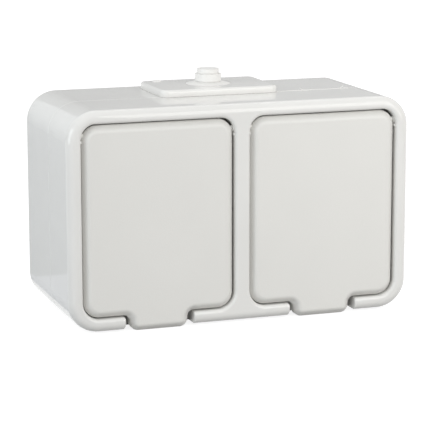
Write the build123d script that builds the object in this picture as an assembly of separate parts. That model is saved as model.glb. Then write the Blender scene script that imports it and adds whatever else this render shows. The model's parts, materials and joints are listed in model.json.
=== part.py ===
from build123d import *
import os

# Weatherproof double socket for surface wiring, in millimetres.
# +X runs along the width, +Z is up, and the wall is the plane y = 0.
# Depths are measured forwards from the wall, so a depth d is y = -d.

# Casing
WIDTH = 147.0
HEIGHT = 90.0
DEPTH = 66.0
PARTING = 36.0
CORNER_R = 12.5
BACK_EDGE = 0.6
PARTING_EDGE = 0.2
WALL = 2.8
BACK_WALL = 2.5

# How far a cut runs on past the face that it opens
CUT = 1.0

# Front bead, bar and lid pockets
SIDE_BEAD = 5.75
TOP_BEAD = 5.25
FOOT_BEAD = 5.35
BAR = 6.5
POCKET_DEPTH = 9.5
POCKET_R = 6.1
POCKET_FOOT_R = 7.3
BEAD_OUTER_R = 3.3
BEAD_INNER_R = 1.4
BEAD_END = 0.4
DECK = 2.5
GAP_WIDTH = 29.2

# Lids
LID_SIDE_GAP = 0.6
LID_TOP_GAP = 0.6
LID_FOOT_GAP = 0.5
LID_R = 6.4
LID_FRONT = 1.7
LID_WALL = 1.8
LID_RIM = 5.9
LID_SLOPE_WIDTH = 2.2
LID_SLOPE_DEPTH = 2.6
LID_EDGE_R = 2.0
LID_RIM_R = 0.6
TONGUE_WIDTH = 25.0
TONGUE_TAPER = 0.6
TONGUE_DROP = 0.8
TONGUE_INNER_R = 2.6
TONGUE_CORNER_R = 3.4

# Hinges
HINGE_DROP = 4.6
HINGE_INSET = 3.4
AXLE_R = 1.0
AXLE_CLEAR = 0.05
AXLE_LENGTH = 2.0
BORE_DEPTH = 1.6
BOSS_R = 1.8
BOSS_HEIGHT = 0.5
NIB_HEIGHT = 0.4
NIB_TOP = 1.9
NIB_LENGTH = 1.1
NIB_DEPTH = 2.6
NIB_INSET = 1.3
LUG_X = 5.75
LUG_THICK = 1.5
LUG_R = 1.9
PIN_R = 0.75
PIN_LENGTH = 16.0
PRESS_CLEAR = 0.02

# Closing springs
WIRE = 0.5
COIL_R = 1.2
COIL_TURNS = 2.75
COIL_PITCH = 0.62
COIL_FLAT = 0.05
LEG_LENGTH = 6.4
LEG_TIP_GAP = 0.7
SHELF_THICK = 1.1
SHELF_WIDTH = 3.0
LEG_CLEAR = 0.1
SHELF_CLEAR = 0.3
NOTCH_CLEAR = 0.7
HOOK_LIP = 0.9
HOOK_POST = 1.0
HOOK_HEIGHT = 2.0

# Lid seals
LID_SEAL_THICK = 2.0
SEAL_WALL = 0.9
SEAL_WALL_RISE = 3.5
SEAL_CLEAR = 0.1
SEAL_LIFT = 0.3

# Casing seal
GROOVE_WIDTH = 1.2
GROOVE_DEPTH = 2.2
SEAL_HEIGHT = 1.3
RIB_CLEAR = 0.15

# Socket wells
CUP_R = 19.6
CUP_DEPTH = 17.4
CUP_WALL = 2.4
FLOOR = 2.5
FLANGE_REACH = 5.4
FLANGE = 1.1
COLLAR_RISE = 1.8
COLLAR_WALL = 1.7
WELL_CLEAR = 0.2
GUIDE_WIDTH = 4.0
GUIDE_RISE = 1.6
GUIDE_SET_BACK = 1.0
PIN_PITCH = 19.0
PIN_HOLE_R = 2.65
FUNNEL = 0.7

# Contacts
SLEEVE_R = 2.45
SLEEVE_WALL = 0.75
SLEEVE_LENGTH = 12.5
SLEEVE_SLIT = 0.6
STRIP = 0.8
FLAG_WIDTH = 6.4
TERMINAL_Z = 7.6
BUSBAR_HEIGHT = 5.0
BUSBAR_LIFT = 0.4
FLAG_END = 3.2

# Contact blocks
BLOCK_WIDTH = 44.0
BLOCK_HEIGHT = 30.0
BLOCK_THICK = 15.2
BLOCK_R = 3.0
BLOCK_CLEAR = 0.15
CHAMBER = 6.4
WIRE_HOLE_R = 2.0
WIRE_LIFT = 2.3

# Earth
EARTH_WIDTH = 5.5
EARTH_DROP = 3.2
CLIP_REACH = 18.4
CLIP_KNEE = 15.9
CLIP_TIP = 17.4
KNEE_RISE = 8.0
TIP_RISE = 12.0
BEND_R = 1.2
CLIP_FOOT_RISE = 1.0
SLIT_ROOT = 1.0
EARTH_BAR_Z = 12.9
EARTH_BAR_HEIGHT = 2.4
EARTH_TERMINAL_Z = 9.8
EARTH_SCREW_REACH = 4.0

# Screws
CENTRE_SCREW_R = 1.9
CENTRE_HEAD_R = 3.8
CENTRE_HEAD = 2.0
CENTRE_SCREW_LENGTH = 12.0
BLOCK_SCREW_X = 18.2
BLOCK_SCREW_R = 1.5
BLOCK_HEAD_R = 2.8
BLOCK_HEAD = 2.0
BLOCK_FOOT = 6.0
BLOCK_SCREW_LENGTH = 15.0
PILOT_EXTRA = 0.5
POST_R = 3.4
TERMINAL_SCREW_R = 1.5
TERMINAL_HEAD_R = 2.6
TERMINAL_HEAD = 2.0
TERMINAL_END = 0.2
CLAMP = 5.4
CLAMP_THICK = 1.0
SLOT_WIDTH = 0.8
SLOT_DEPTH = 0.9
HOLE_CLEAR = 0.2

# Wall fixing and cable ways
WALL_HOLE_R = 2.25
WALL_HOLE_X_INSET = 15.5
WALL_HOLE_Z_INSET = 14.0
PAD_R = 6.0
PAD_RISE = 1.5
KNOCKOUT_R = 10.0
KNOCKOUT_GROOVE = 0.6
KNOCKOUT_CUT = 1.9

# Entry plate and nipple
PLATE_WIDTH = 51.0
PLATE_BACK = 6.0
PLATE_FRONT = 39.0
PLATE_RISE = 3.0
PLATE_R = 3.2
PLATE_EDGE_R = 1.0
NECK_WIDTH = 44.0
NECK_BACK = 9.5
FLANGE_LAP = 2.5
FLANGE_THICK = 2.0
SLIDE_CLEAR = 0.2
NIPPLE_DEPTH = 22.3
SKIRT_R = 9.4
SKIRT_RISE = 0.9
LOWER_RING_R = 5.5
LOWER_RING_TOP = 4.2
UPPER_RING_R = 4.6
UPPER_RING_TOP = 6.3
STEM_R = 4.3
THROAT_R = 7.0
NIPPLE_BORE_R = 3.4
NIPPLE_LIP_R = 9.8
NIPPLE_LIP = 1.5
MEMBRANE = 0.8
TEAR_R = 3.5
TEAR_DEPTH = 0.4
TEAR_WIDTH = 0.5
RING_FLARE = 0.5
SKIRT_STEP = 0.4
BORE_TAPER = 0.8
NIPPLE_CLEAR = 0.1

# Sizes that follow from the ones above
POCKET_WIDTH = (WIDTH - 2 * SIDE_BEAD - BAR) / 2
POCKET_HEIGHT = HEIGHT - TOP_BEAD - FOOT_BEAD
POCKET_Z = (FOOT_BEAD - TOP_BEAD) / 2
POCKET_TOP = POCKET_Z + POCKET_HEIGHT / 2
POCKET_FOOT = POCKET_Z - POCKET_HEIGHT / 2
GANG_X = (POCKET_WIDTH + BAR) / 2
DECK_FRONT = DEPTH - POCKET_DEPTH
DECK_BACK = DECK_FRONT - DECK

LID_WIDTH = POCKET_WIDTH - 2 * LID_SIDE_GAP
LID_TOP = POCKET_TOP - LID_TOP_GAP
LID_FOOT = POCKET_FOOT + LID_FOOT_GAP
LID_BACK = DEPTH - LID_RIM
LID_INSIDE = DEPTH - LID_FRONT
TONGUE_FOOT = -HEIGHT / 2 - TONGUE_DROP

HINGE_Z = POCKET_TOP - HINGE_DROP
HINGE_DEPTH = DEPTH - HINGE_INSET
LEG_REACH = HINGE_DEPTH - DECK_FRONT - LEG_TIP_GAP
LEG_X = COIL_TURNS * COIL_PITCH / 2

FLANGE_FRONT = DECK_FRONT + FLANGE
COLLAR_FRONT = FLANGE_FRONT + COLLAR_RISE
FLOOR_FRONT = COLLAR_FRONT - CUP_DEPTH
FLOOR_BACK = FLOOR_FRONT - FLOOR
WELL_R = CUP_R + CUP_WALL
FLANGE_R = CUP_R + FLANGE_REACH
LID_SEAL_R = FLANGE_R

BLOCK_FRONT = FLOOR_BACK
BLOCK_BACK = BLOCK_FRONT - BLOCK_THICK
BUSBAR_BACK = BLOCK_BACK + BUSBAR_LIFT
FLAG_BACK = BUSBAR_BACK + STRIP
SLEEVE_BACK = FLAG_BACK + STRIP
SLEEVE_FRONT = SLEEVE_BACK + SLEEVE_LENGTH
EARTH_FRONT = FLOOR_BACK - EARTH_DROP
EARTH_BACK = EARTH_FRONT - STRIP
EARTH_BAR_BACK = EARTH_BACK - STRIP

SIDE = Plane(origin=(0, 0, 0), x_dir=(0, -1, 0), z_dir=(-1, 0, 0))


def prism(outline, back, front):
    """An outline drawn in width and height, pushed forwards from one depth to another."""
    return extrude(Plane.XZ.offset(back) * outline, amount=front - back)


def side_prism(outline, x_low, x_high):
    """An outline drawn in depth and height, pushed along the width."""
    return extrude(SIDE.offset(-x_high) * outline, amount=x_high - x_low)


def disc(x, z, radius, back, front):
    return prism(Pos(x, z) * Circle(radius), back, front)


def block(x_low, x_high, z_low, z_high, back, front):
    centre = Pos((x_low + x_high) / 2, -(back + front) / 2, (z_low + z_high) / 2)
    return centre * Box(x_high - x_low, front - back, z_high - z_low)


def cross_rod(x_low, x_high, depth, z, radius):
    """A rod that lies along the width."""
    return Pos((x_low + x_high) / 2, -depth, z) * Rot(0, 90, 0) * Cylinder(radius, x_high - x_low)


def upright_rod(x, depth, z_low, z_high, radius):
    return Pos(x, -depth, (z_low + z_high) / 2) * Cylinder(radius, z_high - z_low)


def casing_outline(inset):
    """The casing's front view, drawn in by one distance all round."""
    return RectangleRounded(WIDTH - 2 * inset, HEIGHT - 2 * inset, CORNER_R - inset)


def casing_ring(outer_inset, inner_inset, back, front):
    return prism(casing_outline(outer_inset) - casing_outline(inner_inset), back, front)


def seal_groove():
    """The groove in the rear box's rim, which runs on across the entry plate."""
    inset = (WALL - GROOVE_WIDTH) / 2
    return casing_ring(inset, inset + GROOVE_WIDTH, PARTING - GROOVE_DEPTH, PARTING)


def edges_at_depth(part, depth):
    return part.edges().filter_by_position(Axis.Y, -depth - 0.01, -depth + 0.01)


def slotted_screw(x, z, head_r, head, shank_r, back, seat):
    """A cheese-head screw with a straight slot, whose head sits on a seat at one depth."""
    screw = disc(x, z, shank_r, back, seat) + disc(x, z, head_r, seat, seat + head)
    slot_front = seat + head
    slot = block(x - head_r, x + head_r, z - SLOT_WIDTH / 2, z + SLOT_WIDTH / 2,
                 slot_front - SLOT_DEPTH, slot_front + CUT)
    return screw - slot


# Casing

def plate_slot():
    """The way in the rear box's top wall that the entry plate's neck slides into."""
    half = NECK_WIDTH / 2 + SLIDE_CLEAR
    return block(-half, half, HEIGHT / 2 - WALL - CUT, HEIGHT / 2 + CUT,
                 NECK_BACK - SLIDE_CLEAR, PARTING + CUT)


def knockout(x):
    """A ring cut part way into the bottom wall, to be broken out for a cable from below."""
    ring = Circle(KNOCKOUT_R) - Circle(KNOCKOUT_R - KNOCKOUT_GROOVE)
    floor = Plane.XY.offset(-HEIGHT / 2 + KNOCKOUT_CUT) * Pos(x, -PARTING / 2) * ring
    return extrude(floor, amount=-KNOCKOUT_CUT - CUT)


def wall_hole_places():
    x = WIDTH / 2 - WALL_HOLE_X_INSET
    z = HEIGHT / 2 - WALL_HOLE_Z_INSET
    return [(-x, -z), (x, -z), (-x, z), (x, z)]


def make_rear_box():
    box = prism(casing_outline(0), 0, PARTING)
    box = chamfer(edges_at_depth(box, 0), BACK_EDGE)
    box = chamfer(edges_at_depth(box, PARTING), PARTING_EDGE)
    box -= prism(casing_outline(WALL), BACK_WALL, PARTING)
    for x, z in wall_hole_places():
        box += disc(x, z, PAD_R, BACK_WALL, BACK_WALL + PAD_RISE)
        box -= disc(x, z, WALL_HOLE_R, -CUT, BACK_WALL + PAD_RISE + CUT)
    for gang_x in (-GANG_X, GANG_X):
        for x in (gang_x - BLOCK_SCREW_X, gang_x + BLOCK_SCREW_X):
            box += disc(x, 0, POST_R, BACK_WALL, BLOCK_BACK)
            screw_back = BLOCK_BACK + BLOCK_FOOT - BLOCK_SCREW_LENGTH
            box -= disc(x, 0, BLOCK_SCREW_R, screw_back - PILOT_EXTRA, BLOCK_BACK + CUT)
        box -= knockout(gang_x)
    box -= seal_groove()
    return box - plate_slot()


def make_front_cover():
    cover = prism(casing_outline(0), PARTING, DEPTH)
    cover = fillet(edges_at_depth(cover, DEPTH), BEAD_OUTER_R)
    cover = chamfer(edges_at_depth(cover, PARTING), PARTING_EDGE)
    cover -= prism(casing_outline(WALL), PARTING, DECK_BACK)
    pocket = pocket_outline()
    for gang_x in (-GANG_X, GANG_X):
        cover -= prism(Pos(gang_x, 0) * pocket, DECK_FRONT, DEPTH)
    cover = fillet(edges_at_depth(cover, DEPTH).filter_by(is_pocket_edge), BEAD_INNER_R)
    for gang_x in (-GANG_X, GANG_X):
        cover = fit_gang(cover, gang_x)
    rib_inset = (WALL - GROOVE_WIDTH) / 2 + RIB_CLEAR
    rib_width = GROOVE_WIDTH - 2 * RIB_CLEAR
    rib = casing_ring(rib_inset, rib_inset + rib_width, PARTING - GROOVE_DEPTH + SEAL_HEIGHT, PARTING)
    return cover + rib


def pocket_outline():
    pocket = Pos(0, POCKET_Z) * Rectangle(POCKET_WIDTH, POCKET_HEIGHT)
    pocket = fillet(pocket.vertices().group_by(Axis.Y)[-1], POCKET_R)
    return fillet(pocket.vertices().group_by(Axis.Y)[0], POCKET_FOOT_R)


def is_pocket_edge(edge):
    """Whether an edge on the front plane belongs to a lid pocket and not to the outer bead."""
    centre = edge.center()
    nearest = min(abs(centre.X - GANG_X), abs(centre.X + GANG_X))
    return nearest < POCKET_WIDTH / 2 + 0.01 and POCKET_FOOT - 0.01 < centre.Z < POCKET_TOP + 0.01


def fit_gang(cover, gang_x):
    """Cuts and adds what one lid and one well need: gap, well hole, hinge bosses and spring shelf."""
    half_gap = GAP_WIDTH / 2
    cover -= block(gang_x - half_gap, gang_x + half_gap, -HEIGHT / 2 - CUT, POCKET_FOOT + CUT,
                   DECK_FRONT, DEPTH + CUT)
    cover = chamfer(bead_end_edges(cover, gang_x), BEAD_END)
    cover -= disc(gang_x, 0, WELL_R + WELL_CLEAR, DECK_BACK - CUT, DECK_FRONT + CUT)
    for side in (-1, 1):
        wall_x = gang_x + side * POCKET_WIDTH / 2
        boss_x = wall_x - side * BOSS_HEIGHT
        bore_x = wall_x + side * BORE_DEPTH
        cover += cross_rod(min(wall_x, boss_x), max(wall_x, boss_x), HINGE_DEPTH, HINGE_Z, BOSS_R)
        cover -= cross_rod(min(boss_x, bore_x), max(boss_x, bore_x), HINGE_DEPTH, HINGE_Z,
                           AXLE_R + AXLE_CLEAR)
        nib_x = wall_x - side * NIB_HEIGHT
        cover += block(min(wall_x, nib_x), max(wall_x, nib_x), HINGE_Z - NIB_TOP - NIB_LENGTH,
                       HINGE_Z - NIB_TOP, DEPTH - NIB_INSET - NIB_DEPTH, DEPTH - NIB_INSET)
    return cover + Pos(gang_x, 0, 0) * spring_shelf()


def bead_end_edges(cover, gang_x):
    """The edges round the cut ends of the bead, on both sides of one tongue gap."""
    half_gap = GAP_WIDTH / 2

    def on_end(edge):
        centre = edge.center()
        beside = abs(abs(centre.X - gang_x) - half_gap) < 0.01
        return beside and -centre.Y > DECK_FRONT + 0.1 and centre.Z < POCKET_FOOT + 0.1

    return cover.edges().filter_by(on_end)


def spring_shelf():
    """The small shelf on the deck that the spring's fixed leg presses on."""
    top = HINGE_Z - COIL_R - WIRE / 2 - LEG_CLEAR
    front = HINGE_DEPTH - COIL_R - WIRE / 2 - SHELF_CLEAR
    return block(-LEG_X - SHELF_WIDTH / 2, -LEG_X + SHELF_WIDTH / 2, top - SHELF_THICK, top,
                 DECK_FRONT, front)


def make_box_seal():
    inset = (WALL - GROOVE_WIDTH) / 2
    back = PARTING - GROOVE_DEPTH
    return casing_ring(inset, inset + GROOVE_WIDTH, back, back + SEAL_HEIGHT)


# Lids

def lid_outline():
    """The lid's front view: a rounded panel with a tapered finger tongue at its foot."""
    panel_height = LID_TOP - LID_FOOT
    panel = Pos(0, (LID_TOP + LID_FOOT) / 2) * RectangleRounded(LID_WIDTH, panel_height, LID_R)
    root = TONGUE_WIDTH / 2
    foot = root - TONGUE_TAPER
    tongue = make_face(Polyline((-root, LID_FOOT + CUT), (root, LID_FOOT + CUT), (root, LID_FOOT),
                                (foot, TONGUE_FOOT), (-foot, TONGUE_FOOT), (-root, LID_FOOT), close=True))
    outline = panel + tongue
    roots = outline.vertices().filter_by(lambda v: abs(v.Y - LID_FOOT) < 0.01 and abs(v.X) < root + 0.01)
    outline = fillet(roots, TONGUE_INNER_R)
    corners = outline.vertices().filter_by(lambda v: abs(v.Y - TONGUE_FOOT) < 0.01)
    return fillet(corners, TONGUE_CORNER_R)


def seal_walls():
    """The two round walls inside the lid that hold its sealing ring between them."""
    inner_r = LID_SEAL_R - LID_SEAL_THICK - SEAL_CLEAR
    outer_r = LID_SEAL_R + SEAL_CLEAR
    rings = Circle(outer_r + SEAL_WALL) - Circle(outer_r)
    rings += Circle(inner_r) - Circle(inner_r - SEAL_WALL)
    return prism(rings, LID_INSIDE - SEAL_WALL_RISE, LID_INSIDE)


def spring_lugs():
    """Two lugs that carry the spring's pin on the hinge axis."""
    outline = Pos(HINGE_DEPTH, HINGE_Z) * Circle(LUG_R)
    reach = LID_INSIDE - HINGE_DEPTH
    outline += Pos(HINGE_DEPTH + reach / 2, HINGE_Z) * Rectangle(reach, 2 * LUG_R)
    outline -= Pos(HINGE_DEPTH, HINGE_Z) * Circle(PIN_R + PRESS_CLEAR)
    return [side_prism(outline, x, x + LUG_THICK) for x in (-LUG_X - LUG_THICK, LUG_X)]


def spring_hook():
    """The hook in the lid that the spring's moving leg pulls on."""
    low = HINGE_Z - LEG_LENGTH
    lip_front = HINGE_DEPTH - COIL_R - WIRE / 2 - LEG_CLEAR
    post_x = LEG_X + WIRE
    post = block(post_x, post_x + HOOK_POST, low, low + HOOK_HEIGHT, lip_front - HOOK_LIP, LID_INSIDE)
    lip = block(LEG_X - WIRE, post_x, low, low + HOOK_HEIGHT, lip_front - HOOK_LIP, lip_front)
    return post + lip


def make_lid():
    outline = lid_outline()
    lid = prism(outline, LID_BACK, DEPTH)
    front = lid.faces().sort_by(Axis.Y)[0]
    lid = chamfer(edges_at_depth(lid, DEPTH), LID_SLOPE_WIDTH, LID_SLOPE_DEPTH, reference=front)
    lid = fillet(edges_at_depth(lid, DEPTH), LID_EDGE_R)
    lid = fillet(edges_at_depth(lid, DEPTH - LID_SLOPE_DEPTH), LID_RIM_R)
    lid -= prism(offset(outline, amount=-LID_WALL), LID_BACK, LID_INSIDE)
    lid += seal_walls()
    for lug in spring_lugs():
        lid += lug
    lid += spring_hook()
    for side in (-1, 1):
        root = side * (LID_WIDTH / 2 - LID_WALL)
        tip = side * (LID_WIDTH / 2 + AXLE_LENGTH)
        lid += cross_rod(min(root, tip), max(root, tip), HINGE_DEPTH, HINGE_Z, AXLE_R)
    return lid - rim_notch()


def rim_notch():
    """The cut in the lid's top rim that passes the spring's fixed leg and its shelf."""
    half = SHELF_WIDTH / 2 + NOTCH_CLEAR
    return block(-LEG_X - half, -LEG_X + half, HINGE_Z + LUG_R, LID_TOP + CUT,
                 LID_BACK - CUT, HINGE_DEPTH)


def make_lid_seal():
    ring = Circle(LID_SEAL_R) - Circle(LID_SEAL_R - LID_SEAL_THICK)
    return prism(ring, FLANGE_FRONT + SEAL_LIFT, LID_INSIDE)


def make_spring_pin():
    pin = cross_rod(-PIN_LENGTH / 2, PIN_LENGTH / 2, HINGE_DEPTH, HINGE_Z, PIN_R)
    return chamfer(pin.edges().filter_by(GeomType.CIRCLE), PIN_R / 4)


def spring_path():
    """The wire's line: in from the shelf, round the pin as straight runs joined by arcs, down to the hook."""
    square = [(1, -1), (1, 1), (-1, 1), (-1, -1)]
    corners = round(4 * COIL_TURNS)
    points = [(-LEG_X, -HINGE_DEPTH + LEG_REACH, HINGE_Z - COIL_R)]
    for i in range(corners):
        forward, up = square[i % 4]
        x = LEG_X * (2 * i / (corners - 1) - 1)
        points.append((x, -HINGE_DEPTH - forward * COIL_R, HINGE_Z + up * COIL_R))
    points.append((LEG_X, -HINGE_DEPTH + COIL_R, HINGE_Z - LEG_LENGTH))
    return FilletPolyline(*points, radius=COIL_R - COIL_FLAT)


def make_lid_spring():
    """A torsion spring: one leg back to the shelf, a coil round the pin, one leg down to the hook."""
    path = spring_path()
    return sweep(Plane(origin=path @ 0, z_dir=path % 0) * Circle(WIRE / 2), path=path)


# Socket wells

def well_body():
    """The cup, its flange on the deck and the collar in front of it, turned about one axis."""
    outline = make_face(Polyline(
        (0, -FLOOR_BACK), (WELL_R, -FLOOR_BACK), (WELL_R, -DECK_FRONT), (FLANGE_R, -DECK_FRONT),
        (FLANGE_R, -FLANGE_FRONT), (CUP_R + COLLAR_WALL, -FLANGE_FRONT), (CUP_R + COLLAR_WALL, -COLLAR_FRONT),
        (CUP_R, -COLLAR_FRONT), (CUP_R, -FLOOR_FRONT), (0, -FLOOR_FRONT), close=True))
    body = revolve(outline, Axis.Y)
    mouth = edges_at_depth(body, COLLAR_FRONT)
    return chamfer(mouth, COLLAR_WALL / 4)


def make_well():
    well = well_body()
    guide_front = COLLAR_FRONT - GUIDE_SET_BACK
    for side in (-1, 1):
        inner = side * (CUP_R - GUIDE_RISE)
        outer = side * (CUP_R + CUP_WALL / 2)
        well += block(min(inner, outer), max(inner, outer), -GUIDE_WIDTH / 2, GUIDE_WIDTH / 2,
                      FLOOR_FRONT, guide_front)
        hole_x = side * PIN_PITCH / 2
        well -= disc(hole_x, 0, PIN_HOLE_R, FLOOR_BACK - CUT, FLOOR_FRONT + CUT)
        rim = well.edges().filter_by(GeomType.CIRCLE).filter_by(
            lambda e: abs(e.arc_center.X - hole_x) < 0.01 and abs(e.arc_center.Y + FLOOR_FRONT) < 0.01)
        well = chamfer(rim, FUNNEL)
        well -= clip_slot(side)
    well += disc(0, 0, EARTH_WIDTH / 2, EARTH_FRONT, FLOOR_BACK)
    return well - disc(0, 0, CENTRE_SCREW_R + HOLE_CLEAR, 0, DEPTH)


def clip_slot(side):
    """The slot in the cup's floor that an earth clip comes up through."""
    low = side * (CLIP_KNEE - STRIP)
    high = side * (CLIP_REACH + STRIP)
    half = EARTH_WIDTH / 2 + HOLE_CLEAR
    return block(-half, half, min(low, high), max(low, high), FLOOR_BACK - CUT, FLOOR_FRONT + CUT)


# Contacts and blocks

def make_contact():
    """A line contact: a slit sleeve on a flag that rises to the terminal."""
    x = -PIN_PITCH / 2
    flag = block(x - FLAG_WIDTH / 2, x + FLAG_WIDTH / 2, -FLAG_END, TERMINAL_Z + FLAG_END,
                 FLAG_BACK, SLEEVE_BACK)
    sleeve = disc(x, 0, SLEEVE_R + SLEEVE_WALL, SLEEVE_BACK, SLEEVE_FRONT)
    contact = flag + sleeve - disc(x, 0, SLEEVE_R, FLAG_BACK, SLEEVE_FRONT)
    contact -= block(x - FLAG_WIDTH, x, -SLEEVE_SLIT / 2, SLEEVE_SLIT / 2,
                     SLEEVE_BACK + SLIT_ROOT, SLEEVE_FRONT)
    return contact - disc(x, TERMINAL_Z, TERMINAL_SCREW_R + PRESS_CLEAR, FLAG_BACK, SLEEVE_BACK)


def half_turn(part):
    """The same part turned upside down about the gang's own axis."""
    return Rot(0, 180, 0) * part


def block_cuts_for_one_pole():
    """What the line contact, its terminal, wire and busbar take out of a block."""
    x = -PIN_PITCH / 2
    half_flag = FLAG_WIDTH / 2 + BLOCK_CLEAR
    half_bar = BUSBAR_HEIGHT / 2 + BLOCK_CLEAR
    half_chamber = CHAMBER / 2
    cuts = disc(x, 0, SLEEVE_R + SLEEVE_WALL + BLOCK_CLEAR, BLOCK_BACK, BLOCK_FRONT)
    cuts += block(x - half_flag, x + half_flag, -FLAG_END - BLOCK_CLEAR, TERMINAL_Z + FLAG_END + BLOCK_CLEAR,
                  BLOCK_BACK, SLEEVE_BACK)
    cuts += block(-BLOCK_WIDTH, BLOCK_WIDTH, TERMINAL_Z - half_bar, TERMINAL_Z + half_bar,
                  BLOCK_BACK, FLAG_BACK)
    cuts += block(x - half_chamber, x + half_chamber, TERMINAL_Z - half_chamber, TERMINAL_Z + half_chamber,
                  BLOCK_BACK, BLOCK_FRONT)
    cuts += upright_rod(x, SLEEVE_BACK + WIRE_LIFT, TERMINAL_Z, BLOCK_HEIGHT, WIRE_HOLE_R)
    return cuts


def make_block():
    body = prism(RectangleRounded(BLOCK_WIDTH, BLOCK_HEIGHT, BLOCK_R), BLOCK_BACK, BLOCK_FRONT)
    cuts = block_cuts_for_one_pole()
    body -= cuts
    body -= half_turn(cuts)
    for x in (-BLOCK_SCREW_X, BLOCK_SCREW_X):
        body -= disc(x, 0, BLOCK_SCREW_R + HOLE_CLEAR, BLOCK_BACK, BLOCK_FRONT)
        body -= disc(x, 0, BLOCK_HEAD_R + HOLE_CLEAR, BLOCK_BACK + BLOCK_FOOT, BLOCK_FRONT)
    half_strap = EARTH_WIDTH / 2 + BLOCK_CLEAR
    body -= block(-half_strap, half_strap, -BLOCK_HEIGHT, BLOCK_HEIGHT, EARTH_BACK, BLOCK_FRONT)
    bar_low = EARTH_BAR_Z - EARTH_BAR_HEIGHT / 2 - BLOCK_CLEAR
    bar_high = EARTH_BAR_Z + EARTH_BAR_HEIGHT / 2 + BLOCK_CLEAR
    body -= block(-BLOCK_WIDTH, BLOCK_WIDTH, bar_low, bar_high, EARTH_BAR_BACK, BLOCK_FRONT)
    body -= disc(0, 0, CENTRE_SCREW_R + HOLE_CLEAR, BLOCK_BACK, BLOCK_FRONT)
    body -= disc(0, -EARTH_TERMINAL_Z, TERMINAL_SCREW_R + HOLE_CLEAR,
                 EARTH_BACK - EARTH_SCREW_REACH, EARTH_BACK)
    half_chamber = CHAMBER / 2
    return body - block(-half_chamber, half_chamber, -EARTH_TERMINAL_Z - half_chamber,
                        -EARTH_TERMINAL_Z + half_chamber, EARTH_FRONT, BLOCK_FRONT)


def make_earth_strap():
    """One strip bent up at both ends into the two side clips, each with a knee and a flared tip."""
    middle = EARTH_FRONT - STRIP / 2
    rise = FLOOR_FRONT + CLIP_FOOT_RISE
    half_path = [(middle, CLIP_REACH), (rise, CLIP_REACH), (FLOOR_FRONT + KNEE_RISE, CLIP_KNEE),
                 (FLOOR_FRONT + TIP_RISE, CLIP_TIP)]
    path = [(depth, -z) for depth, z in reversed(half_path)] + half_path
    strip = trace(FilletPolyline(*path, radius=BEND_R), line_width=STRIP)
    strap = side_prism(strip, -EARTH_WIDTH / 2, EARTH_WIDTH / 2)
    strap -= disc(0, 0, CENTRE_SCREW_R + PRESS_CLEAR, EARTH_BACK - CUT, EARTH_FRONT + CUT)
    return strap - disc(0, -EARTH_TERMINAL_Z, TERMINAL_SCREW_R + PRESS_CLEAR,
                        EARTH_BACK - CUT, EARTH_FRONT + CUT)


def make_pole_busbar():
    """The line busbar, from the left block's line terminal to the right block's."""
    low_x = -GANG_X - PIN_PITCH / 2
    high_x = GANG_X - PIN_PITCH / 2
    bar = block(low_x - FLAG_END, high_x + FLAG_END, TERMINAL_Z - BUSBAR_HEIGHT / 2,
                TERMINAL_Z + BUSBAR_HEIGHT / 2, BUSBAR_BACK, FLAG_BACK)
    for x in (low_x, high_x):
        bar -= disc(x, TERMINAL_Z, TERMINAL_SCREW_R + PRESS_CLEAR, BUSBAR_BACK, FLAG_BACK)
    return bar


def make_earth_busbar():
    reach = GANG_X + EARTH_WIDTH / 2
    return block(-reach, reach, EARTH_BAR_Z - EARTH_BAR_HEIGHT / 2, EARTH_BAR_Z + EARTH_BAR_HEIGHT / 2,
                 EARTH_BAR_BACK, EARTH_BACK)


# Fasteners

def make_centre_screw():
    back = FLOOR_FRONT - CENTRE_SCREW_LENGTH
    return slotted_screw(0, 0, CENTRE_HEAD_R, CENTRE_HEAD, CENTRE_SCREW_R, back, FLOOR_FRONT)


def make_block_screws():
    seat = BLOCK_BACK + BLOCK_FOOT
    back = seat - BLOCK_SCREW_LENGTH
    return [slotted_screw(gang_x + x, 0, BLOCK_HEAD_R, BLOCK_HEAD, BLOCK_SCREW_R - PRESS_CLEAR, back, seat)
            for gang_x in (-GANG_X, GANG_X) for x in (-BLOCK_SCREW_X, BLOCK_SCREW_X)]


def terminal_places():
    """Width, height, seat and back end of each terminal screw, in one gang."""
    back = BUSBAR_BACK - TERMINAL_END
    return [(-PIN_PITCH / 2, TERMINAL_Z, SLEEVE_BACK, back), (PIN_PITCH / 2, -TERMINAL_Z, SLEEVE_BACK, back),
            (0, -EARTH_TERMINAL_Z, EARTH_FRONT, EARTH_BACK - EARTH_SCREW_REACH)]


def make_terminal_screws():
    screws = []
    for gang_x in (-GANG_X, GANG_X):
        for x, z, seat, back in terminal_places():
            screws.append(slotted_screw(gang_x + x, z, TERMINAL_HEAD_R, TERMINAL_HEAD, TERMINAL_SCREW_R, back,
                                        seat + CLAMP_THICK))
    return screws


def make_terminal_clamps():
    clamps = []
    for gang_x in (-GANG_X, GANG_X):
        for x, z, seat, back in terminal_places():
            clamp = prism(Pos(gang_x + x, z) * Rectangle(CLAMP, CLAMP), seat, seat + CLAMP_THICK)
            hole = disc(gang_x + x, z, TERMINAL_SCREW_R + PRESS_CLEAR, seat, seat + CLAMP_THICK)
            clamps.append(clamp - hole)
    return clamps


# Cable entry

def plan_prism(outline, z_low, z_high):
    return extrude(Plane.XY.offset(z_low) * outline, amount=z_high - z_low)


def plan_rectangle(half_width, back, front, radius):
    shape = RectangleRounded(2 * half_width, front - back, radius)
    return Pos(0, -(back + front) / 2) * shape


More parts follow.
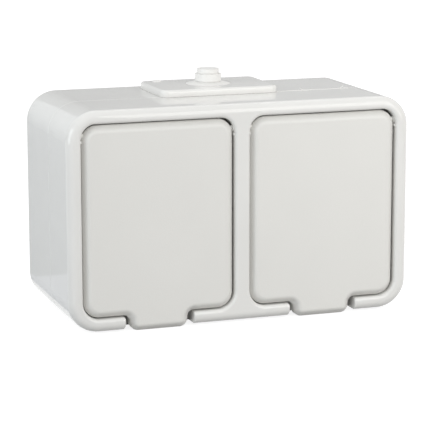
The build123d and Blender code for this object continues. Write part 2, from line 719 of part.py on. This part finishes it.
def make_entry_plate():
    top = HEIGHT / 2
    slab = plan_prism(plan_rectangle(PLATE_WIDTH / 2, PLATE_BACK, PLATE_FRONT, PLATE_R), top, top + PLATE_RISE)
    slab = fillet(slab.edges().group_by(Axis.Z)[-1], PLATE_EDGE_R)
    neck = block(-NECK_WIDTH / 2, NECK_WIDTH / 2, top - WALL, top, NECK_BACK, PARTING)
    flange_half = NECK_WIDTH / 2 + FLANGE_LAP
    flange_front = PARTING - SLIDE_CLEAR
    flange = block(-flange_half, flange_half, top - WALL - FLANGE_THICK, top - WALL,
                   NECK_BACK - FLANGE_LAP, flange_front)
    plate = slab + neck + flange - seal_groove()
    lip_room = upright_rod(0, NIPPLE_DEPTH, top - WALL - FLANGE_THICK, top, NIPPLE_LIP_R + SLIDE_CLEAR)
    throat = upright_rod(0, NIPPLE_DEPTH, top, top + PLATE_RISE, THROAT_R)
    return plate - lip_room - throat


def make_cable_nipple():
    """A soft stepped nipple, turned about its own upright axis and closed by a thin membrane."""
    seat = HEIGHT / 2
    face = seat + PLATE_RISE
    tip = face + UPPER_RING_TOP
    neck_r = THROAT_R - NIPPLE_CLEAR
    outline = make_face(Polyline(
        (NIPPLE_BORE_R, seat - NIPPLE_LIP), (NIPPLE_LIP_R, seat - NIPPLE_LIP), (NIPPLE_LIP_R, seat),
        (neck_r, seat), (neck_r, face), (SKIRT_R, face), (LOWER_RING_R - SKIRT_STEP, face + SKIRT_RISE),
        (LOWER_RING_R, face + SKIRT_RISE + SKIRT_STEP), (LOWER_RING_R, face + LOWER_RING_TOP),
        (STEM_R, face + LOWER_RING_TOP), (UPPER_RING_R, face + LOWER_RING_TOP + RING_FLARE),
        (UPPER_RING_R, tip), (TEAR_R, tip), (TEAR_R, tip - TEAR_DEPTH), (TEAR_R - TEAR_WIDTH, tip), (0, tip),
        (0, tip - MEMBRANE), (NIPPLE_BORE_R - BORE_TAPER, tip - MEMBRANE),
        (NIPPLE_BORE_R, face + LOWER_RING_TOP), close=True))
    turned = revolve(Plane.XZ * outline, Axis.Z)
    return Pos(0, -NIPPLE_DEPTH, 0) * turned


def save(name, part):
    """Writes one node, or a group of solids under one node."""
    if isinstance(part, list):
        part = Compound(children=part)
    part.label = name
    export_step(part, os.path.join("parts", name + ".step"))


def main():
    os.makedirs("parts", exist_ok=True)
    save("rear_box", make_rear_box())
    save("front_cover", make_front_cover())
    save("box_seal", make_box_seal())
    save("entry_plate", make_entry_plate())
    save("cable_nipple", make_cable_nipple())
    contact = make_contact()
    gang_parts = {
        "lid": make_lid(),
        "lid_seal": make_lid_seal(),
        "spring_pin": make_spring_pin(),
        "lid_spring": make_lid_spring(),
        "socket_well": make_well(),
        "contact_block": make_block(),
        "line_contact": contact,
        "neutral_contact": half_turn(contact),
        "earth_strap": make_earth_strap(),
        "centre_screw": make_centre_screw(),
    }
    for side, gang_x in (("left", -GANG_X), ("right", GANG_X)):
        for name, part in gang_parts.items():
            save(side + "_" + name, Pos(gang_x, 0, 0) * part)
    line_busbar = make_pole_busbar()
    save("line_busbar", line_busbar)
    save("neutral_busbar", half_turn(line_busbar))
    save("earth_busbar", make_earth_busbar())
    save("block_screws", make_block_screws())
    save("terminal_screws", make_terminal_screws())
    save("terminal_clamps", make_terminal_clamps())


main()
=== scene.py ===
import json
import math

import bmesh
import bpy
from mathutils import Matrix, Vector


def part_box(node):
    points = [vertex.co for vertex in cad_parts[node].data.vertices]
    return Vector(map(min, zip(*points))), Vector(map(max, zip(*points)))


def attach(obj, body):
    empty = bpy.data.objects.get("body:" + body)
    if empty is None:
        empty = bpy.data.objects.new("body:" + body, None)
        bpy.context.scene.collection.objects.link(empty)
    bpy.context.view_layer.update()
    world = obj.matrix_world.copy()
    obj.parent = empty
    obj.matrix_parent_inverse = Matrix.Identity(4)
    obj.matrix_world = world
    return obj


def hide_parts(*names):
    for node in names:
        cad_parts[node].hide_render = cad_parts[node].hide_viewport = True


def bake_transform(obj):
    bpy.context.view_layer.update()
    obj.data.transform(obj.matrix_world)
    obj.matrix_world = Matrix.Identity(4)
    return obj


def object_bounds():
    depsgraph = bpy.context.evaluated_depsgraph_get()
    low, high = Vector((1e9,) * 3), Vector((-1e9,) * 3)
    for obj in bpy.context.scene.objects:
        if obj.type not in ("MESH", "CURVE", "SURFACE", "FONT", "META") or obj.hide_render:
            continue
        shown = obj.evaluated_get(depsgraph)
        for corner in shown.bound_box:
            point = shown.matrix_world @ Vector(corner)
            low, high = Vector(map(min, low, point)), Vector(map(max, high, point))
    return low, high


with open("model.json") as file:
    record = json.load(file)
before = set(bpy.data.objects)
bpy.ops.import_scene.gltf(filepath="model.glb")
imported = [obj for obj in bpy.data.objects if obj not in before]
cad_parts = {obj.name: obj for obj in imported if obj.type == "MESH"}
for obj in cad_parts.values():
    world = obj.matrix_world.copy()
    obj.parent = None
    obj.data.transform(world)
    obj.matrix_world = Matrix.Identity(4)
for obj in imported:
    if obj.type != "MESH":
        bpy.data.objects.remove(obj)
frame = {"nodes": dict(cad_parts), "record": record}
cad_lo, cad_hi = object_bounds()
scene = bpy.context.scene
nodes = frame["nodes"]
slot_of = {p["node"]: p["material_slot"] for p in frame["record"]["subparts"]}

# Lengths are in metres, and angles in radians where the name doesn't say degrees.
FLOOR_Z = cad_lo.z
PARTING_Y = -0.036                # the joint between rear box and front cover

WELD = 1e-6                       # vertices closer than this become one
ON_PLANE = 2e-6                   # a vertex this close to a plane lies on it
FLAT_ANGLE = math.radians(0.3)    # faces that bend less than this become one
SHARP_ANGLE = math.radians(35)    # edges that bend more than this are shaded sharp
RIM_ANGLE = 1.2                   # edges that bend more than this are rims

PLATE_FOOT_EDGE = 0.00022

PIP_PLACE = (-0.0185, -0.0090)    # x and y, on top of the plate
PIP_RADIUS = 0.0019
PIP_DEPTH = 0.0006                # half of it stands out
PIP_EDGE = 0.00015

RIB = (0.0305, 0.0004, 0.0003)    # length, width and height; half stands out if not lifted
TICK = (0.0026, 0.0006, 0.0004)
FIN = (0.0020, 0.0004, 0.0003)
FIN_LIFT = 0.00045
FIN_SLANT = 0.5
BAR_EDGE_SHARE = 0.3              # of the bar's width
MARKS = (                         # bar, x, lift above the cover's top, slant
    (RIB, 0.0412, 0, 0),
    (TICK, 0.0390, 0, 0),
    (TICK, 0.0570, 0, 0),
    (FIN, 0.0372, FIN_LIFT, FIN_SLANT),
    (FIN, 0.0552, FIN_LIFT, -FIN_SLANT),
)

PLASTIC_IOR = 1.5
RUBBER_IOR = 1.48
MATT = 0.9                        # roughness of the floor and the cards

FLOOR_HALF_WIDTH = 6
FLOOR_GREY = (0.33, 0.33, 0.33)
FLOOR_GLOW = 0.85
CARD_GAP = 0.0005                 # between the floor and the card that lies on it

PHOTO_WIDTH_PX = 426
SENSOR_WIDTH_MM = 36
VIEW_RANGE = (0.05, 30)


# Shader nodes

class Shader:
    """A small writer of node trees: most calls add one node and return its main output."""

    def __init__(self, name):
        self.material = bpy.data.materials.new(name)
        self.material.use_nodes = True
        self.tree = self.material.node_tree
        self.bsdf = self.tree.nodes["Principled BSDF"]
        self.place = self.tree.nodes.new("ShaderNodeTexCoord").outputs["Object"]

    def add(self, kind, **settings):
        node = self.tree.nodes.new(kind)
        for key, value in settings.items():
            setattr(node, key, value)
        return node

    def link(self, a, b):
        self.tree.links.new(a, b)

    def stretched(self, scale):
        """The object's own coordinates, scaled differently along each axis."""
        node = self.add("ShaderNodeMapping")
        node.inputs["Scale"].default_value = scale
        self.link(self.place, node.inputs["Vector"])
        return node.outputs["Vector"]

    def noise(self, scale, detail, rough, vector=None):
        node = self.add("ShaderNodeTexNoise")
        node.inputs["Scale"].default_value = scale
        node.inputs["Detail"].default_value = detail
        node.inputs["Roughness"].default_value = rough
        self.link(vector or self.place, node.inputs["Vector"])
        return node.outputs["Fac"]

    def cells(self, scale):
        node = self.add("ShaderNodeTexVoronoi", feature="SMOOTH_F1")
        node.inputs["Scale"].default_value = scale
        self.link(self.place, node.inputs["Vector"])
        return node.outputs["Distance"]

    def ramp(self, value, span, to=(0, 1)):
        """The value's span mapped onto another one, held at its ends."""
        node = self.add("ShaderNodeMapRange", clamp=True)
        for key, number in zip(("From Min", "From Max", "To Min", "To Max"), (*span, *to)):
            node.inputs[key].default_value = number
        self.link(value, node.inputs["Value"])
        return node.outputs["Result"]

    def math(self, operation, a, b):
        node = self.add("ShaderNodeMath", operation=operation)
        for socket, value in zip(node.inputs, (a, b)):
            if isinstance(value, (int, float)):
                socket.default_value = value
            else:
                self.link(value, socket)
        return node.outputs["Value"]

    def colours(self, factor, dark, light):
        node = self.add("ShaderNodeMix", data_type="RGBA")
        node.inputs["A"].default_value = (*dark, 1)
        node.inputs["B"].default_value = (*light, 1)
        self.link(factor, node.inputs["Factor"])
        self.link(next(s for s in node.outputs if s.type == "RGBA"), self.bsdf.inputs["Base Color"])

    def roughness(self, value):
        self.link(value, self.bsdf.inputs["Roughness"])

    def bump(self, *layers):
        """Each layer is (height, strength, distance in metres), laid one over another."""
        normal = None
        for height, strength, distance in layers:
            node = self.add("ShaderNodeBump")
            node.inputs["Strength"].default_value = strength
            node.inputs["Distance"].default_value = distance
            self.link(height, node.inputs["Height"])
            if normal:
                self.link(normal, node.inputs["Normal"])
            normal = node.outputs["Normal"]
        self.link(normal, self.bsdf.inputs["Normal"])

    def set(self, **values):
        for key, value in values.items():
            self.bsdf.inputs[key.replace("_", " ")].default_value = value


def tint(colour, k):
    return tuple(min(1.0, c * k) for c in colour)


def glossy_plastic(name, colour, rough=0.02, spread=0.04):
    """Polished moulding: flow shades, the tool's faint waviness, a few fine rub marks."""
    s = Shader(name)
    flow = s.noise(scale=22, detail=3, rough=0.55)
    rubs = s.noise(scale=90, detail=4, rough=0.7, vector=s.stretched((1, 1, 7)))
    waves = s.noise(scale=60, detail=1, rough=0.4)
    skin = s.noise(scale=1900, detail=2, rough=0.6)
    s.colours(s.ramp(flow, (0.35, 0.65)), tint(colour, 0.975), tint(colour, 1.012))
    s.roughness(s.math("ADD", s.ramp(flow, (0.3, 0.7), (rough, rough + spread)),
                       s.ramp(rubs, (0.58, 0.72), (0, 0.07))))
    s.bump((waves, 0.09, 0.00006), (skin, 0.03, 0.00002))
    s.set(IOR=PLASTIC_IOR)
    return s.material


def spark_plastic(name, colour, rough=0.46, grain=2600, depth=0.55):
    """Eroded-tool texture: a fine even grain of rounded pits, with duller and shinier spots."""
    s = Shader(name)
    pits = s.cells(scale=grain)
    fine = s.noise(scale=grain * 1.7, detail=3, rough=0.6)
    flow = s.noise(scale=30, detail=2, rough=0.5)
    waves = s.noise(scale=70, detail=1, rough=0.4)
    mixed = s.math("ADD", s.math("MULTIPLY", pits, 0.6), s.math("MULTIPLY", fine, 0.4))
    # The colour is partly painted shade: it follows the same pit field as the bump, so each pit is
    # painted darker than its rim. The rest is a random tone from the flow noise.
    shade = s.math("ADD", s.math("MULTIPLY", mixed, 0.55), s.math("MULTIPLY", flow, 0.45))
    s.colours(shade, tint(colour, 0.94), tint(colour, 1.04))
    s.roughness(s.ramp(mixed, (0.25, 0.65), (rough - 0.07, rough + 0.12)))
    s.bump((mixed, depth, 0.00006), (waves, 0.25, 0.00006))
    s.set(IOR=PLASTIC_IOR)
    return s.material


def soft_rubber(name, colour, rough=0.6, grain=0.35, mottle=(0.90, 1.05)):
    """Soft moulding with a fine dry skin and a faint cloudy bloom."""
    s = Shader(name)
    bloom = s.noise(scale=160, detail=4, rough=0.6)
    wear = s.noise(scale=900, detail=3, rough=0.6)
    skin = s.noise(scale=1500, detail=3, rough=0.6)
    s.colours(s.ramp(bloom, (0.35, 0.68)), tint(colour, mottle[0]), tint(colour, mottle[1]))
    s.roughness(s.ramp(wear, (0.3, 0.7), (rough - 0.08, rough + 0.14)))
    s.bump((skin, grain, 0.00005), (bloom, grain * 0.6, 0.0001))
    s.set(IOR=RUBBER_IOR)
    return s.material


def sheet_metal(name, colour, rough=0.24, along=(1, 1, 1), tarnish=0.86):
    """Rolled or turned metal: fine lines along one direction, some tarnish, plating pits."""
    s = Shader(name)
    stain = s.noise(scale=120, detail=4, rough=0.62)
    lines = s.noise(scale=1400, detail=3, rough=0.6, vector=s.stretched(along))
    pits = s.noise(scale=2600, detail=2, rough=0.5)
    s.colours(s.ramp(stain, (0.38, 0.66)), tint(colour, tarnish), tint(colour, 1.04))
    s.roughness(s.math("ADD", s.ramp(lines, (0.3, 0.7), (rough, rough + 0.14)),
                       s.ramp(stain, (0.5, 0.7), (0, 0.1))))
    s.bump((lines, 0.22, 0.00003), (pits, 0.12, 0.00002))
    s.set(Metallic=1.0)
    return s.material


def dull_moulding(name, colour):
    """Filled heat-proof plastic: coarse matt skin with pale flecks."""
    s = Shader(name)
    flecks = s.noise(scale=1300, detail=2, rough=0.7)
    wear = s.noise(scale=240, detail=4, rough=0.6)
    skin = s.noise(scale=800, detail=4, rough=0.6)
    s.colours(s.ramp(flecks, (0.44, 0.72)), colour, tint(colour, 1.5))
    s.roughness(s.ramp(wear, (0.3, 0.7), (0.48, 0.7)))
    s.bump((skin, 0.4, 0.00008))
    s.set(IOR=PLASTIC_IOR)
    return s.material


MATERIALS = {
    "housing": glossy_plastic("housing_plastic", (0.782, 0.777, 0.757)),
    "lid": spark_plastic("lid_plastic", (0.76, 0.753, 0.726)),
    "entry": glossy_plastic("entry_plastic", (0.81, 0.803, 0.782), rough=0.06),
    "nipple": soft_rubber("nipple_soft_plastic", (0.84, 0.833, 0.813), rough=0.42, grain=0.08,
                          mottle=(0.97, 1.015)),
    "well": glossy_plastic("well_plastic", (0.76, 0.755, 0.735), rough=0.3, spread=0.1),
    "block": dull_moulding("block_moulding", (0.075, 0.078, 0.085)),
    "seal": soft_rubber("seal_rubber", (0.05, 0.052, 0.056)),
    "brass": sheet_metal("contact_brass", (0.72, 0.52, 0.24), rough=0.2, along=(1, 0.12, 1)),
    "nickel": sheet_metal("nickel_strip", (0.66, 0.64, 0.60), rough=0.22, along=(1, 0.1, 1),
                          tarnish=0.92),
    "steel": sheet_metal("zinc_steel", (0.60, 0.61, 0.63), rough=0.26),
}

for name, obj in nodes.items():
    obj.data.materials.clear()
    obj.data.materials.append(MATERIALS[slot_of[name]])


# Pieces

def add_object(name, data):
    obj = bpy.data.objects.new(name, data)
    scene.collection.objects.link(obj)
    return obj


def mesh_of(work, name):
    mesh = bpy.data.meshes.new(name)
    work.to_mesh(mesh)
    work.free()
    return mesh


def round_off(work, edges, offset, segments=2):
    bmesh.ops.bevel(work, geom=edges, offset=offset, offset_type="OFFSET", segments=segments,
                    profile=0.5, material=-1, affect="EDGES", clamp_overlap=True)


def shade(mesh):
    """Smooth, with the sharp edges kept."""
    mesh.shade_smooth()
    mesh.set_sharp_from_angle(angle=SHARP_ANGLE)


def piece_from_node(node, name):
    """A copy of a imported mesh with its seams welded, free to be bent or bevelled."""
    mesh = nodes[node].data.copy()
    mesh.name = name
    work = bmesh.new()
    work.from_mesh(mesh)
    bmesh.ops.remove_doubles(work, verts=work.verts, dist=WELD)
    bmesh.ops.recalc_face_normals(work, faces=work.faces)
    work.to_mesh(mesh)
    work.free()
    mesh.shade_smooth()
    obj = add_object(name, mesh)
    return obj


def bend_spring(side):
    """On the real lid the closing spring winds up as the lid opens, with one leg on the housing's
    shelf; here a welded copy in its given shape takes the place of the imported spring.
    """
    node = side + "_lid_spring"
    wire = piece_from_node(node, side + "_spring_wire")
    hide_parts(node)
    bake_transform(wire)


def seat_plate():
    """The entry plate with its foot edge broken all round, which leaves a fine shadow."""
    plate = piece_from_node("entry_plate", "seated_entry_plate")
    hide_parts("entry_plate")
    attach(plate, "housing")
    mesh = plate.data
    if "custom_normal" in mesh.attributes:
        mesh.attributes.remove(mesh.attributes["custom_normal"])
    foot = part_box("front_cover")[1].z
    work = bmesh.new()
    work.from_mesh(mesh)
    bmesh.ops.dissolve_limit(work, angle_limit=FLAT_ANGLE, verts=work.verts, edges=work.edges)
    rim = [e for e in work.edges
           if len(e.link_faces) == 2 and e.is_convex and e.calc_face_angle() > RIM_ANGLE
           and all(abs(v.co.z - foot) < ON_PLANE for v in e.verts)]
    round_off(work, rim, PLATE_FOOT_EDGE)
    bmesh.ops.recalc_face_normals(work, faces=work.faces)
    work.to_mesh(mesh)
    work.free()
    shade(mesh)


def add_bar(piece, size, place, slant):
    """A thin bar along X with a softened top, slanted and with its centre at the place."""
    bar = bmesh.new()
    bmesh.ops.create_cube(bar, size=1.0)
    bmesh.ops.scale(bar, vec=size, verts=bar.verts)
    crest = [e for e in bar.edges if all(v.co.z > 0 for v in e.verts)]
    width = size[1]
    round_off(bar, crest, width * BAR_EDGE_SHARE)
    bmesh.ops.rotate(bar, cent=(0, 0, 0), matrix=Matrix.Rotation(slant, 3, "Y"), verts=bar.verts)
    bmesh.ops.translate(bar, vec=place, verts=bar.verts)
    held = mesh_of(bar, "bar")
    piece.from_mesh(held)
    bpy.data.meshes.remove(held)


def finish_piece(work, name, slot, body):
    """Turns a new piece's geometry into an object with its material, slot and body."""
    bmesh.ops.recalc_face_normals(work, faces=work.faces)
    mesh = mesh_of(work, name)
    shade(mesh)
    mesh.materials.append(MATERIALS[slot])
    obj = add_object(name, mesh)
    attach(obj, body)


def parting_marks():
    """The moulded rib on the parting line right of the plate, with its two small slanting fins."""
    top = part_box("front_cover")[1].z
    work = bmesh.new()
    for size, x, lift, slant in MARKS:
        add_bar(work, size, (x, PARTING_Y, top + lift), slant)
    finish_piece(work, "parting_marks", "housing", "housing")


def plate_pip():
    """The low round pip at the plate's back left corner."""
    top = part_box("entry_plate")[1].z
    work = bmesh.new()
    bmesh.ops.create_cone(work, cap_ends=True, cap_tris=False, segments=48,
                          radius1=PIP_RADIUS, radius2=PIP_RADIUS, depth=PIP_DEPTH,
                          matrix=Matrix.Translation((*PIP_PLACE, top)))
    rim = [e for e in work.edges
           if len(e.link_faces) == 2 and e.calc_face_angle() > RIM_ANGLE
           and all(v.co.z > top for v in e.verts)]
    round_off(work, rim, PIP_EDGE, segments=3)
    finish_piece(work, "plate_pip", "nipple", "housing")


for side in ("left", "right"):
    bend_spring(side)
seat_plate()
parting_marks()
plate_pip()


# Floor, light and camera

def white_rays(tree, otherwise):
    """1 for rays that show the background (camera, glossy, transmission), else a given value."""
    path = tree.nodes.new("ShaderNodeLightPath").outputs
    value = None
    for ray in ("Is Glossy Ray", "Is Transmission Ray", "Is Camera Ray"):
        larger = tree.nodes.new("ShaderNodeMath")
        larger.operation = "MAXIMUM"
        tree.links.new(path[ray], larger.inputs[0])
        if value is None:
            larger.inputs[1].default_value = otherwise
        else:
            tree.links.new(value, larger.inputs[1])
        value = larger.outputs[0]
    return value


def shown_white(name, colour, glow):
    """A matt surface that the camera and reflections see nearly white, with its shadow kept."""
    s = Shader(name)
    s.set(Base_Color=(*colour, 1), Roughness=MATT)
    lit = s.add("ShaderNodeEmission")
    s.link(s.math("MULTIPLY", white_rays(s.tree, 0), glow), lit.inputs["Strength"])
    both = s.add("ShaderNodeAddShader")
    s.link(s.bsdf.outputs[0], both.inputs[0])
    s.link(lit.outputs[0], both.inputs[1])
    s.link(both.outputs[0], s.tree.nodes["Material Output"].inputs["Surface"])
    return s.material


def make_floor():
    work = bmesh.new()
    bmesh.ops.create_grid(work, x_segments=1, y_segments=1, size=FLOOR_HALF_WIDTH)
    mesh = mesh_of(work, "floor")
    mesh.materials.append(shown_white("floor_white", FLOOR_GREY, FLOOR_GLOW))
    obj = add_object("floor", mesh)
    obj.location = (0, 0, FLOOR_Z)


def make_flag(name, centre, size, shades, across=(-1, 1), tone=(1, 1, 1), tilt_degrees=90):
    """A grey card, out of the camera's sight, that glossy faces mirror at a low angle.

    Its shades run from the first to the second between the two values of x in across.
    """
    work = bmesh.new()
    bmesh.ops.create_grid(work, x_segments=1, y_segments=1, size=0.5)
    bmesh.ops.scale(work, vec=(*size, 1), verts=work.verts)
    bmesh.ops.rotate(work, cent=(0, 0, 0), verts=work.verts,
                     matrix=Matrix.Rotation(math.radians(tilt_degrees), 3, "X"))
    card = Shader(name + "_grey")
    split = card.add("ShaderNodeSeparateXYZ")
    card.link(card.place, split.inputs[0])
    first, second = shades
    card.colours(card.ramp(split.outputs["X"], across), tint(tone, first), tint(tone, second))
    card.set(Roughness=MATT)
    mesh = mesh_of(work, name)
    mesh.materials.append(card.material)
    obj = add_object(name, mesh)
    obj.location = centre
    obj.visible_camera = obj.visible_diffuse = obj.visible_shadow = False


def make_world(level):
    """White to the camera and to reflections, a little dimmer as a light on matt surfaces."""
    world = bpy.data.worlds.new("studio")
    scene.world = world
    world.use_nodes = True
    tree = world.node_tree
    background = tree.nodes["Background"]
    background.inputs["Color"].default_value = (1, 1, 1, 1)
    tree.links.new(white_rays(tree, level), background.inputs["Strength"])


def lamp(name, place, aim, size, watts, colour=(1, 1, 1)):
    data = bpy.data.lights.new(name, "AREA")
    data.shape = "RECTANGLE"
    data.size, data.size_y = size
    data.energy = watts
    data.color = colour
    obj = add_object(name, data)
    obj.location = place
    obj.rotation_mode = "QUATERNION"
    obj.rotation_quaternion = (Vector(aim) - Vector(place)).to_track_quat("-Z", "Y")


def direction(azimuth, elevation):
    """The unit vector towards a viewpoint; azimuth 0 is the front, positive to the right."""
    return Vector((math.sin(azimuth) * math.cos(elevation),
                   -math.cos(azimuth) * math.cos(elevation),
                   math.sin(elevation)))


def make_camera(centre, azimuth, elevation, distance, yaw, pitch, roll, lens_px):
    """The photograph's viewpoint, fitted to edges read from it; all angles in degrees."""
    azimuth, elevation, yaw, pitch, roll = map(math.radians, (azimuth, elevation, yaw, pitch, roll))
    away = direction(azimuth, elevation)
    back = direction(yaw, pitch)
    level = Vector((math.cos(yaw), math.sin(yaw), 0))
    steep = back.cross(level)
    right = level * math.cos(roll) + steep * math.sin(roll)
    up = steep * math.cos(roll) - level * math.sin(roll)
    data = bpy.data.cameras.new("camera")
    data.sensor_width = SENSOR_WIDTH_MM
    data.lens = SENSOR_WIDTH_MM * lens_px / PHOTO_WIDTH_PX
    data.clip_start, data.clip_end = VIEW_RANGE
    obj = add_object("camera", data)
    turn = Matrix((right, up, back)).transposed().to_4x4()
    obj.matrix_world = Matrix.Translation(Vector(centre) + away * distance) @ turn
    scene.camera = obj


make_floor()
make_world(level=0.69)
make_flag("far_flag", centre=(0.3, 1.0, 0.18), size=(4.0, 0.5), shades=(0.8, 1.0),
          across=(-0.1, 0.2))
make_flag("side_flag", centre=(-0.105, 0.04, 0.025), size=(0.06, 0.14), shades=(1.0, 1.0),
          tone=(0.97, 0.985, 1.0))
make_flag("low_flag", centre=(-0.145, 0.0, FLOOR_Z + CARD_GAP), size=(0.14, 0.2),
          shades=(0.95, 0.95), tone=(0.97, 0.985, 1.03), tilt_degrees=0)
lamp("key", place=(0.24, -0.47, 0.16), aim=(0, -0.03, 0), size=(0.35, 0.35), watts=1.1,
     colour=(1.0, 0.99, 0.965))
lamp("fill", place=(-0.92, -0.29, 0.2), aim=(0, -0.03, 0), size=(0.6, 0.7), watts=4.1,
     colour=(0.91, 0.965, 1.0))
lamp("overhead", place=(0.05, 0.35, 0.75), aim=(0, -0.04, 0.04), size=(0.9, 0.08), watts=0.62)
make_camera(centre=(0, -0.033, 0), azimuth=-19.22, elevation=10.92, distance=0.84733,
            yaw=-19.12, pitch=11.32, roll=-0.09, lens_px=2004.47)
scene.view_settings.view_transform = "Standard"
